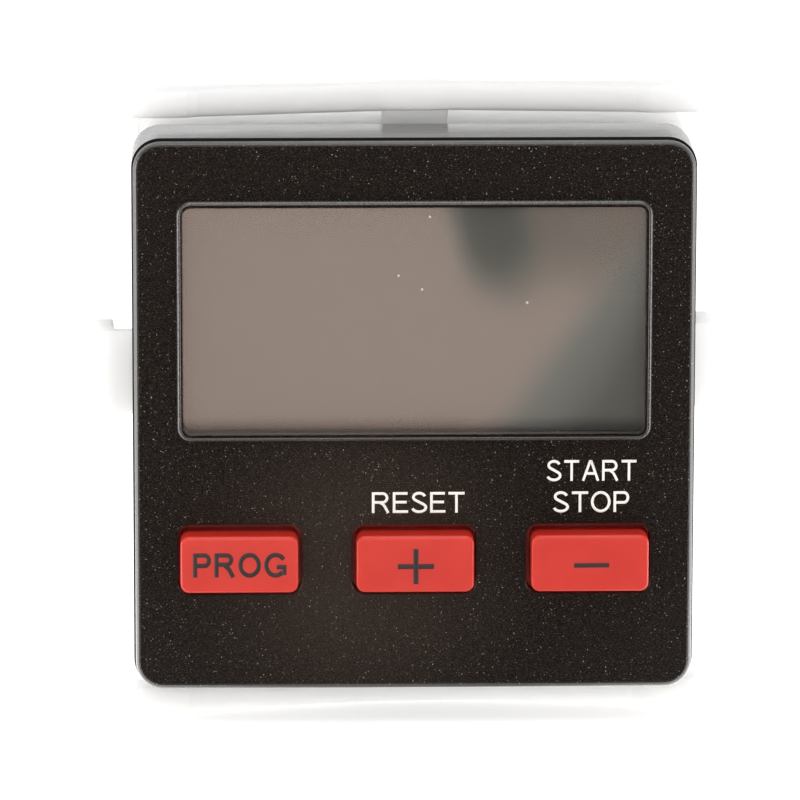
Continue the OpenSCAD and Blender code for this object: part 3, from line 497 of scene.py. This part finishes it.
# the case with its flange: glossier, and at the very front dull and drawn darker as painted shade, which
# draws the dark line behind the cover
shadeMargin = {"node": "case", "depth": 0.3, "colour": "#0c0b0a", "rough": 0.7, "specular": 0.1}
paint(mouldedPlastic("flangedPolyesterBlack", {**housingPolyester, "paintedShadeMargin": shadeMargin}), "case")

# red ABS of the keys: a satin skin, and the colour glows a little where light passes through the edges
keyAbs = {"grain": 0.12, "cloud": 3, "grainTone": 0.3, "dark": "#c5281b", "light": "#cc2f21",
          "rough": (0.3, 0.38), "relief": 0.002, "specular": 0.5, "scatter": 0.5,
          "scatterColour": (1.0, 0.3, 0.2), "scatterDepth": 1.0}
paint(mouldedPlastic("satinAbsRed", keyAbs), "button_prog", "button_plus", "button_minus")

# natural acetal of the clamp frame: waxy white, in which light spreads some millimetres and softens shade
frameAcetal = {"grain": 0.25, "cloud": 6, "grainTone": 0.3, "dark": "#f8f8f7", "light": "#fcfcfb",
               "rough": (0.38, 0.5), "relief": 0.004, "ior": 1.48, "scatter": 1.0, "scatterDepth": 8.0}
paint(mouldedPlastic("naturalAcetalWhite", frameAcetal), "clamp_frame")

# ABS of the display holder: plain dark grey with a fine matt skin
holderAbs = {"grain": 0.15, "cloud": 5, "grainTone": 0.4, "dark": "#161616", "light": "#202020",
             "rough": (0.4, 0.55), "relief": 0.004}
paint(mouldedPlastic("mouldedAbsGraphite", holderAbs), "display_holder")

# closed cell foam of the backing pad: dull grey with a coarse pitted skin
foam = {"grain": 0.35, "cloud": 2, "grainTone": 0.8, "dark": "#2c2f34", "light": "#44484f",
        "rough": (0.8, 0.95), "relief": 0.05, "specular": 0.2}
paint(mouldedPlastic("closedCellFoamGrey", foam), "backing_pad")

# polyester case of the relay: clear blue with a slight gloss
relayCase = {"grain": 0.2, "cloud": 6, "grainTone": 0.3, "dark": "#2557a0", "light": "#2e66b4",
             "rough": (0.25, 0.35), "relief": 0.003}
paint(mouldedPlastic("mouldedPolyesterBlue", relayCase), "relay")

# polypropylene box of the mains capacitor: warm yellow, satin
capacitorBox = {"grain": 0.3, "cloud": 5, "grainTone": 0.3, "dark": "#d8a526", "light": "#e6b83c",
                "rough": (0.35, 0.45), "relief": 0.004}
paint(mouldedPlastic("mouldedPolypropyleneYellow", capacitorBox), "mains_capacitor")

# shrunk polyester sleeve of the smoothing capacitor: dark blue, satin
paint(mouldedPlastic("sleevePolyesterNavy", {**holderAbs, "dark": "#20283a", "light": "#2c3850"}),
      "smoothing_capacitor")
# epoxy dip of the varistor: mid blue, slightly glossy
paint(mouldedPlastic("dippedEpoxyBlue", {**relayCase, "dark": "#275f96", "light": "#3474ae"}), "varistor")
# epoxy of packages, switches and header: near black with a very fine matt grain
paint(mouldedPlastic("mouldedEpoxyBlack", {**holderAbs, "grain": 0.08}),
      "rectifier", "microcontroller", "key_switches", "board_header")
# glazed ceramic of the fuse: reddish brown, slightly glossy
paint(mouldedPlastic("glazedCeramicBrown", {**relayCase, "dark": "#7c4c2e", "light": "#95603f"}), "fuse")
# elastomer contact strips: pale tan rubber, quite matt
paint(mouldedPlastic("layeredElastomer", {**foam, "dark": "#b8a890", "light": "#dccdb4"}), "contact_strips")


def platedMetal(name, s):
    # metal with a plated skin: fine rubbing marks and a slightly uneven sheen
    material, tree = startMaterial(name)
    place = addNode(tree, "ShaderNodeTexCoord")
    marks = addNode(tree, "ShaderNodeTexNoise",
                    {"Scale": 1 / (s["marks"] * mm), "Detail": 4.0, "Roughness": 0.65},
                    {"Vector": place.outputs["Object"]})
    colour = addNode(tree, "ShaderNodeMix",
                     {"data_type": "RGBA", 6: linearColour(s["dark"]), 7: linearColour(s["light"])},
                     {0: marks.outputs[0]})
    rough = addNode(tree, "ShaderNodeMapRange",
                    {"To Min": s["rough"][0], "To Max": s["rough"][1]}, {"Value": marks.outputs[0]})
    bump = addNode(tree, "ShaderNodeBump", {"Strength": 1.0, "Distance": s["relief"] * mm},
                   {"Height": marks.outputs[0]})
    shader = addNode(tree, "ShaderNodeBsdfPrincipled", {"Metallic": 1.0},
                     {"Base Color": colour.outputs[2], "Roughness": rough.outputs[0],
                      "Normal": bump.outputs[0]})
    addNode(tree, "ShaderNodeOutputMaterial", links={"Surface": shader.outputs[0]})
    return material


# zinc on the terminal screws: cool bluish white metal, half dull
paint(platedMetal("zincPlatedSteel", {"marks": 0.3, "dark": "#b4b8bc", "light": "#d2d5d8",
                                      "rough": (0.22, 0.4), "relief": 0.002}), "terminal_screws")
# nickel on the brass wire clamps: a warmer, clearer sheen
paint(platedMetal("nickelPlatedBrass", {"marks": 0.4, "dark": "#bdb8ac", "light": "#d6d2c8",
                                        "rough": (0.2, 0.35), "relief": 0.002}), "wire_clamps")
# nickel on the cans of battery and crystal: neutral, and the smoothest of the three
paint(platedMetal("nickelPlatedSteel", {"marks": 0.5, "dark": "#b6b7b6", "light": "#d0d0ce",
                                        "rough": (0.15, 0.3), "relief": 0.001}),
      "backup_battery", "quartz_crystal")
# solder mask on both boards: dark green lacquer with a slight gloss
paint(mouldedPlastic("solderMaskGreen", {**relayCase, "dark": "#1a5c36", "light": "#237045"}),
      "display_board", "power_board")

# acrylic pane: clear, and polished on both faces with a faint moulding wave; matt sides drawn dark grey as
# painted shade, and some dust
paneLook = {"tint": "#f6f7f6", "ior": 1.49, "rough": 0.015, "wave": 7, "waveDepth": 0.003, "specular": 0.8,
            "sides": "#4a4743", "sideRough": 0.6, "sideSpecular": 0.2, "sideTurn": 0.5,
            "dustCell": 4.5, "dust": 0.11, "dustColour": "#d8d4cc"}


def clearAcrylic(s):
    # shadow rays pass, so that the display behind is lit
    material, tree = startMaterial("polishedAcrylicClear")
    place = addNode(tree, "ShaderNodeTexCoord")
    wave = addNode(tree, "ShaderNodeTexNoise", {"Scale": 1 / (s["wave"] * mm), "Detail": 1.0},
                   {"Vector": place.outputs["Object"]})
    bump = addNode(tree, "ShaderNodeBump", {"Strength": 1.0, "Distance": s["waveDepth"] * mm},
                   {"Height": wave.outputs[0]})
    glass = addNode(tree, "ShaderNodeBsdfPrincipled",
                    {"Base Color": linearColour(s["tint"]), "IOR": s["ior"], "Roughness": s["rough"],
                     "Specular IOR Level": s["specular"], "Transmission Weight": 1.0},
                    {"Normal": bump.outputs[0]})
    clear = addNode(tree, "ShaderNodeBsdfTransparent", {"Color": linearColour(s["tint"])})
    rays = addNode(tree, "ShaderNodeLightPath")
    both = addNode(tree, "ShaderNodeMixShader",
                   links={0: rays.outputs["Is Shadow Ray"], 1: glass.outputs[0], 2: clear.outputs[0]})
    # the pane's sides, unlike its two faces, are sawn and so matt, and drawn dark grey as painted shade
    shape = addNode(tree, "ShaderNodeNewGeometry")
    facing = addNode(tree, "ShaderNodeSeparateXYZ", links={0: shape.outputs["True Normal"]})
    flat = addNode(tree, "ShaderNodeMath", {"operation": "ABSOLUTE"}, {0: facing.outputs[1]})
    edge = addNode(tree, "ShaderNodeMath", {"operation": "LESS_THAN", 1: s["sideTurn"]}, {0: flat.outputs[0]})
    sawnShadedSide = addNode(tree, "ShaderNodeBsdfPrincipled",
                   {"Base Color": linearColour(s["sides"]), "Roughness": s["sideRough"],
                    "Specular IOR Level": s["sideSpecular"]})
    both = addNode(tree, "ShaderNodeMixShader",
                   links={0: edge.outputs[0], 1: both.outputs[0], 2: sawnShadedSide.outputs[0]})
    # a few grains of dust
    cells = addNode(tree, "ShaderNodeTexVoronoi", {"Scale": 1 / (s["dustCell"] * mm)},
                    {"Vector": place.outputs["Object"]})
    grains = addNode(tree, "ShaderNodeMath", {"operation": "LESS_THAN", 1: s["dust"] / s["dustCell"]},
                     {0: cells.outputs["Distance"]})
    lint = addNode(tree, "ShaderNodeBsdfDiffuse", {"Color": linearColour(s["dustColour"])})
    both = addNode(tree, "ShaderNodeMixShader",
                   links={0: grains.outputs[0], 1: both.outputs[0], 2: lint.outputs[0]})
    addNode(tree, "ShaderNodeOutputMaterial", links={"Surface": both.outputs[0]})
    return material


paint(clearAcrylic(paneLook), "window_pane")

# polarizer film of the display: neutral grey, faintly frosted, with painted shade along its lower edge; the
# shade's top lies the given height in mm above the pane's bottom
filmLook = {"grain": 4, "dark": "#5c5d59", "light": "#5f605c", "paintedShade": "#3b3a38", "shadeTop": 2.5,
            "shadeSoft": 1.3, "rough": (0.06, 0.09), "ior": 1.49, "specular": 0.5}


def polarizerFilm(s):
    material, tree = startMaterial("polarizerFilmGrey")
    place = addNode(tree, "ShaderNodeTexCoord")
    grain = addNode(tree, "ShaderNodeTexNoise", {"Scale": 1 / (s["grain"] * mm), "Detail": 2.0},
                    {"Vector": place.outputs["Object"]})
    film = addNode(tree, "ShaderNodeMix",
                   {"data_type": "RGBA", 6: linearColour(s["dark"]), 7: linearColour(s["light"])},
                   {0: grain.outputs[0]})
    axes = addNode(tree, "ShaderNodeSeparateXYZ", links={0: place.outputs["Object"]})
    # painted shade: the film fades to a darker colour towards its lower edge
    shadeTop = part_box("window_pane")[0].z + s["shadeTop"] * mm
    paintedShade = addNode(tree, "ShaderNodeMapRange",
                   {"From Min": shadeTop, "From Max": shadeTop - s["shadeSoft"] * mm,
                    "interpolation_type": "SMOOTHSTEP"}, {"Value": axes.outputs[2]})
    colour = addNode(tree, "ShaderNodeMix", {"data_type": "RGBA", 7: linearColour(s["paintedShade"])},
                     {0: paintedShade.outputs[0], 6: film.outputs[2]})
    rough = addNode(tree, "ShaderNodeMapRange", {"To Min": s["rough"][0], "To Max": s["rough"][1]},
                    {"Value": grain.outputs[0]})
    shader = addNode(tree, "ShaderNodeBsdfPrincipled", {"IOR": s["ior"], "Specular IOR Level": s["specular"]},
                     {"Base Color": colour.outputs[2], "Roughness": rough.outputs[0]})
    addNode(tree, "ShaderNodeOutputMaterial", links={"Surface": shader.outputs[0]})
    return material


paint(polarizerFilm(filmLook), "display_polarizer")

# glass of the display cell: polished and grey green, drawn opaque because film hides all but its edges
paint(mouldedPlastic("sodaLimeGlass", {"grain": 0.3, "cloud": 12, "grainTone": 0.1, "dark": "#8fa09a",
                                       "light": "#9aaba5", "rough": (0.05, 0.08), "relief": 0.0002}),
      "display_front_glass", "display_rear_glass")
# reflector film behind the cell: plain silver grey, frosted
paint(mouldedPlastic("aluminisedFilm", {"grain": 0.1, "cloud": 8, "grainTone": 0.3, "dark": "#a8aaa4",
                                        "light": "#bcbeb8", "rough": (0.4, 0.5), "relief": 0.001}),
      "display_reflector")
print("materials assigned")


def arc(cx, cy, rx, ry, a0, a1, steps=14):
    return [(cx + rx * math.cos(math.radians(a0 + (a1 - a0) * i / steps)),
             cy + ry * math.sin(math.radians(a0 + (a1 - a0) * i / steps))) for i in range(steps + 1)]


def letterStrokes(letter, w):
    # centre lines of a plain letter or sign one unit high, for a pen w wide: (width, [(closed, points), ...])
    h = w / 2
    top, low = 1 - h * 0.92, h * 0.92
    if letter == "E":
        return 0.75, [(False, [(h, 0), (h, 1)]), (False, [(w, top), (0.72, top)]),
                      (False, [(w, 0.52), (0.68, 0.52)]), (False, [(w, low), (0.75, low)])]
    if letter == "T":
        return 0.79, [(False, [(0, top), (0.79, top)]), (False, [(0.395, 1 - 0.92 * w), (0.395, 0)])]
    if letter == "P":
        bowl = arc(0.5, 0.70, 0.26 - h + 0.005, top - 0.70, 90, -90)
        return 0.77, [(False, [(h, 0), (h, 1)]), (False, [(w, top)] + bowl + [(w, 1.4 - top)])]
    if letter == "R":
        bowl = arc(0.52, 0.725, 0.28 - h + 0.005, top - 0.725, 90, -90)
        return 0.88, [(False, [(h, 0), (h, 1)]), (False, [(w, top)] + bowl + [(w, 1.45 - top)]),
                      (False, [(0.42, 0.48), (0.52, 0.44), (0.62, 0.33), (0.80, 0)])]
    if letter == "A":
        return 0.93, [(False, [(h * 1.05, 0), (0.465 - h * 0.55, 1 - h), (0.465 + h * 0.55, 1 - h),
                               (0.93 - h * 1.05, 0)]), (False, [(0.24, 0.355), (0.69, 0.355)])]
    if letter == "O":
        return 0.96, [(True, arc(0.48, 0.5, 0.48 - h, 0.517 - h, 0, 352, 44))]
    if letter == "S":
        upper = arc(0.395, 0.757, 0.345 - h, 0.26 - h, 12, 225, 16)
        lower = arc(0.395, 0.255, 0.395 - h, 0.272 - h, 45, -168, 16)
        return 0.79, [(False, upper + lower)]
    if letter == "G":
        ring = arc(0.49, 0.5, 0.49 - h, 0.517 - h, 33, 318, 30)
        return 0.95, [(False, ring), (False, [(0.95 - h, 0.09), (0.95 - h, 0.51)]),
                      (False, [(0.95, 0.51 - h), (0.53, 0.51 - h)])]
    if letter == "+":
        return 1.0, [(False, [(0, 0.5), (1, 0.5)]), (False, [(0.5, 0), (0.5, 1)])]
    if letter == "-":
        return 1.0, [(False, [(0, 0.5), (1, 0.5)])]
    raise ValueError(letter)


# a layer of ink, each stroke of a letter a little thicker than the one before, so that none share a face
legendInk = {"thickness": 0.012, "step": 0.002, "sink": 0.003, "space": 0.14}


def strokeMesh(closed, points, pen, height, ink):
    # one pen stroke as a flat bar of ink along its line
    profile = bpy.data.curves.new("penProfile", "CURVE")
    profile.dimensions = "2D"
    profile.fill_mode = "NONE"
    outline = profile.splines.new("POLY")
    outline.points.add(3)
    for point, (x, y) in zip(outline.points, ((-1, 0), (1, 0), (1, 1), (-1, 1))):
        point.co = (x * pen / 2, y * ink, 0, 1)
    outline.use_cyclic_u = True
    penObject = bpy.data.objects.new("penProfile", profile)
    scene.collection.objects.link(penObject)
    line = bpy.data.curves.new("penLine", "CURVE")
    line.dimensions = "2D"
    line.fill_mode = "NONE"
    line.bevel_mode = "OBJECT"
    line.bevel_object = penObject
    line.use_fill_caps = True
    spline = line.splines.new("POLY")
    spline.points.add(len(points) - 1)
    for target, (x, y) in zip(spline.points, points):
        target.co = (x * height, y * height, 0, 1)
    spline.use_cyclic_u = closed
    lineObject = bpy.data.objects.new("penLine", line)
    scene.collection.objects.link(lineObject)
    bpy.context.view_layer.update()
    shown = lineObject.evaluated_get(bpy.context.evaluated_depsgraph_get())
    mesh = bpy.data.meshes.new_from_object(shown)
    bpy.data.objects.remove(lineObject)
    bpy.data.objects.remove(penObject)
    return mesh


def makeLegend(name, s, material, body):
    # letters are set in a row, scaled to the printed width, and laid on the face
    bm = bmesh.new()
    cursor = 0.0
    height = s["height"] * mm
    pen = s["pen"] * mm
    for letter in s["text"]:
        width, strokes = letterStrokes(letter, pen / height)
        for order, (closed, points) in enumerate(strokes):
            ink = (legendInk["thickness"] + order * legendInk["step"]) * mm
            mesh = strokeMesh(closed, points, pen, height, ink)
            mesh.transform(Matrix.Translation((cursor, 0, 0)))
            bm.from_mesh(mesh)
            bpy.data.meshes.remove(mesh)
        cursor += (width + legendInk["space"]) * height
    xs = [v.co.x for v in bm.verts]
    ys = [v.co.y for v in bm.verts]
    middle = Vector(((min(xs) + max(xs)) / 2, (min(ys) + max(ys)) / 2, 0))
    bmesh.ops.translate(bm, verts=bm.verts, vec=-middle)
    bmesh.ops.scale(bm, verts=bm.verts, vec=(s["width"] * mm / (max(xs) - min(xs)), 1, 1))
    bmesh.ops.rotate(bm, verts=bm.verts, matrix=Matrix.Rotation(math.radians(90), 3, "X"))
    place = Vector((s["x"], s["face"] + legendInk["sink"], s["z"])) * mm
    bmesh.ops.translate(bm, verts=bm.verts, vec=place)
    bmesh.ops.recalc_face_normals(bm, faces=bm.faces)
    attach(makeObject(name, bm, material), body)


# the rounded bead along the window's rim
rimEdge = {"inner": 0.14, "outer": 0.3, "middle": 0.2, "height": 0.45, "foot": 0.2, "open": 1.0,
           "radius": 0.75, "arcSteps": 5, "cornerSteps": 8}
# its plastic is the cover's, but polished in the mould, so that it catches a broken line of light
rimBlack = mouldedPlastic("polishedAbsBlack", {"grain": 0.14, "cloud": 3, "grainTone": 0.4, "dark": "#191512",
                                               "light": "#26201c", "rough": (0.18, 0.3), "relief": 0.025,
                                               "specular": 1.0})


def cornerLoop(bm, width, height, radius, y, middle, steps):
    # closed loop of edges along a rectangle with round corners, parallel to the face
    corners = ((1, 1, 0), (-1, 1, 90), (-1, -1, 180), (1, -1, 270))  # sides of x and z, first angle
    points = []
    for sideX, sideZ, start in corners:
        centreX, centreZ = sideX * (width / 2 - radius), sideZ * (height / 2 - radius)
        for i in range(steps + 1):
            a = math.radians(start + 90 * i / steps)
            points.append((centreX + radius * math.cos(a), centreZ + radius * math.sin(a)))
    verts = [bm.verts.new((middle.x + x * mm, y * mm, middle.z + z * mm)) for x, z in points]
    return [bm.edges.new((verts[i - 1], verts[i])) for i in range(len(verts))]


def makeRimEdge(s):
    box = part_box("window_pane")
    middle = (box[0] + box[1]) / 2
    width, height = ((box[1][k] - box[0][k]) / mm - 2 * s["open"] for k in (0, 2))
    section = []
    for i in range(-s["arcSteps"], s["arcSteps"] + 1):
        a = math.radians(90 * i / s["arcSteps"])
        reach = s["outer"] if i > 0 else s["inner"]
        section.append((s["middle"] + reach * math.sin(a), coverY - s["height"] * math.cos(a)))
    section.append((s["middle"], coverY + s["foot"]))
    bm = bmesh.new()
    loops = [cornerLoop(bm, width + 2 * d, height + 2 * d, s["radius"] + d, y, middle, s["cornerSteps"])
             for d, y in section]
    for k in range(len(loops)):
        bmesh.ops.bridge_loops(bm, edges=loops[k - 1] + loops[k])
    bmesh.ops.recalc_face_normals(bm, faces=bm.faces)
    edge = makeObject("rim_edge", bm, rimBlack)
    edge.data.polygons.foreach_set("use_smooth", [True] * len(edge.data.polygons))
    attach(edge, "unit")


makeRimEdge(rimEdge)
print("rim edge rounded")

# screen printed ink on the textured front: warm white, quite matt, with the skin's pits showing through
whiteInk = mouldedPlastic("screenPrintedInkWhite",
                          {"grain": 0.2, "cloud": 2, "grainTone": 0.4, "dark": "#e4e0da", "light": "#f6f2ec",
                           "rough": (0.5, 0.65), "relief": 0.012})
# pad printed ink on the keys: dark brown that lets a little of the red show
darkInk = mouldedPlastic("padPrintedInkUmber",
                         {"grain": 0.12, "cloud": 2, "grainTone": 0.5, "dark": "#2b1b1c", "light": "#382627",
                          "rough": (0.4, 0.5), "relief": 0.002, "specular": 0.3})
# places and sizes in mm; x and z are each word's middle
capitals = {"height": 1.82, "pen": 0.24, "face": coverY}
legends = {
    "legend_reset": ({**capitals, "text": "RESET", "x": 0.34, "z": -7.41, "width": 7.92}, whiteInk, "unit"),
    "legend_start": ({**capitals, "text": "START", "x": 15.15, "z": -4.66, "width": 7.67}, whiteInk, "unit"),
    "legend_stop": ({**capitals, "text": "STOP", "x": 15.13, "z": -7.40, "width": 6.51}, whiteInk, "unit"),
    "legend_prog": ({"text": "PROG", "x": -14.92, "z": -12.41, "width": 7.97, "height": 2.11, "pen": 0.38,
                     "face": keyY}, darkInk, "prog_key"),
    "legend_plus": ({"text": "+", "x": 0.11, "z": -12.56, "width": 3.09, "height": 3.07, "pen": 0.43,
                     "face": keyY}, darkInk, "plus_key"),
    "legend_minus": ({"text": "-", "x": 15.11, "z": -12.52, "width": 3.01, "height": 3.01, "pen": 0.39,
                      "face": keyY}, darkInk, "minus_key"),
}
for legendName, (settings, ink, rider) in legends.items():
    makeLegend(legendName, settings, ink, rider)
print("legends printed")

scene.view_settings.view_transform = "Standard"
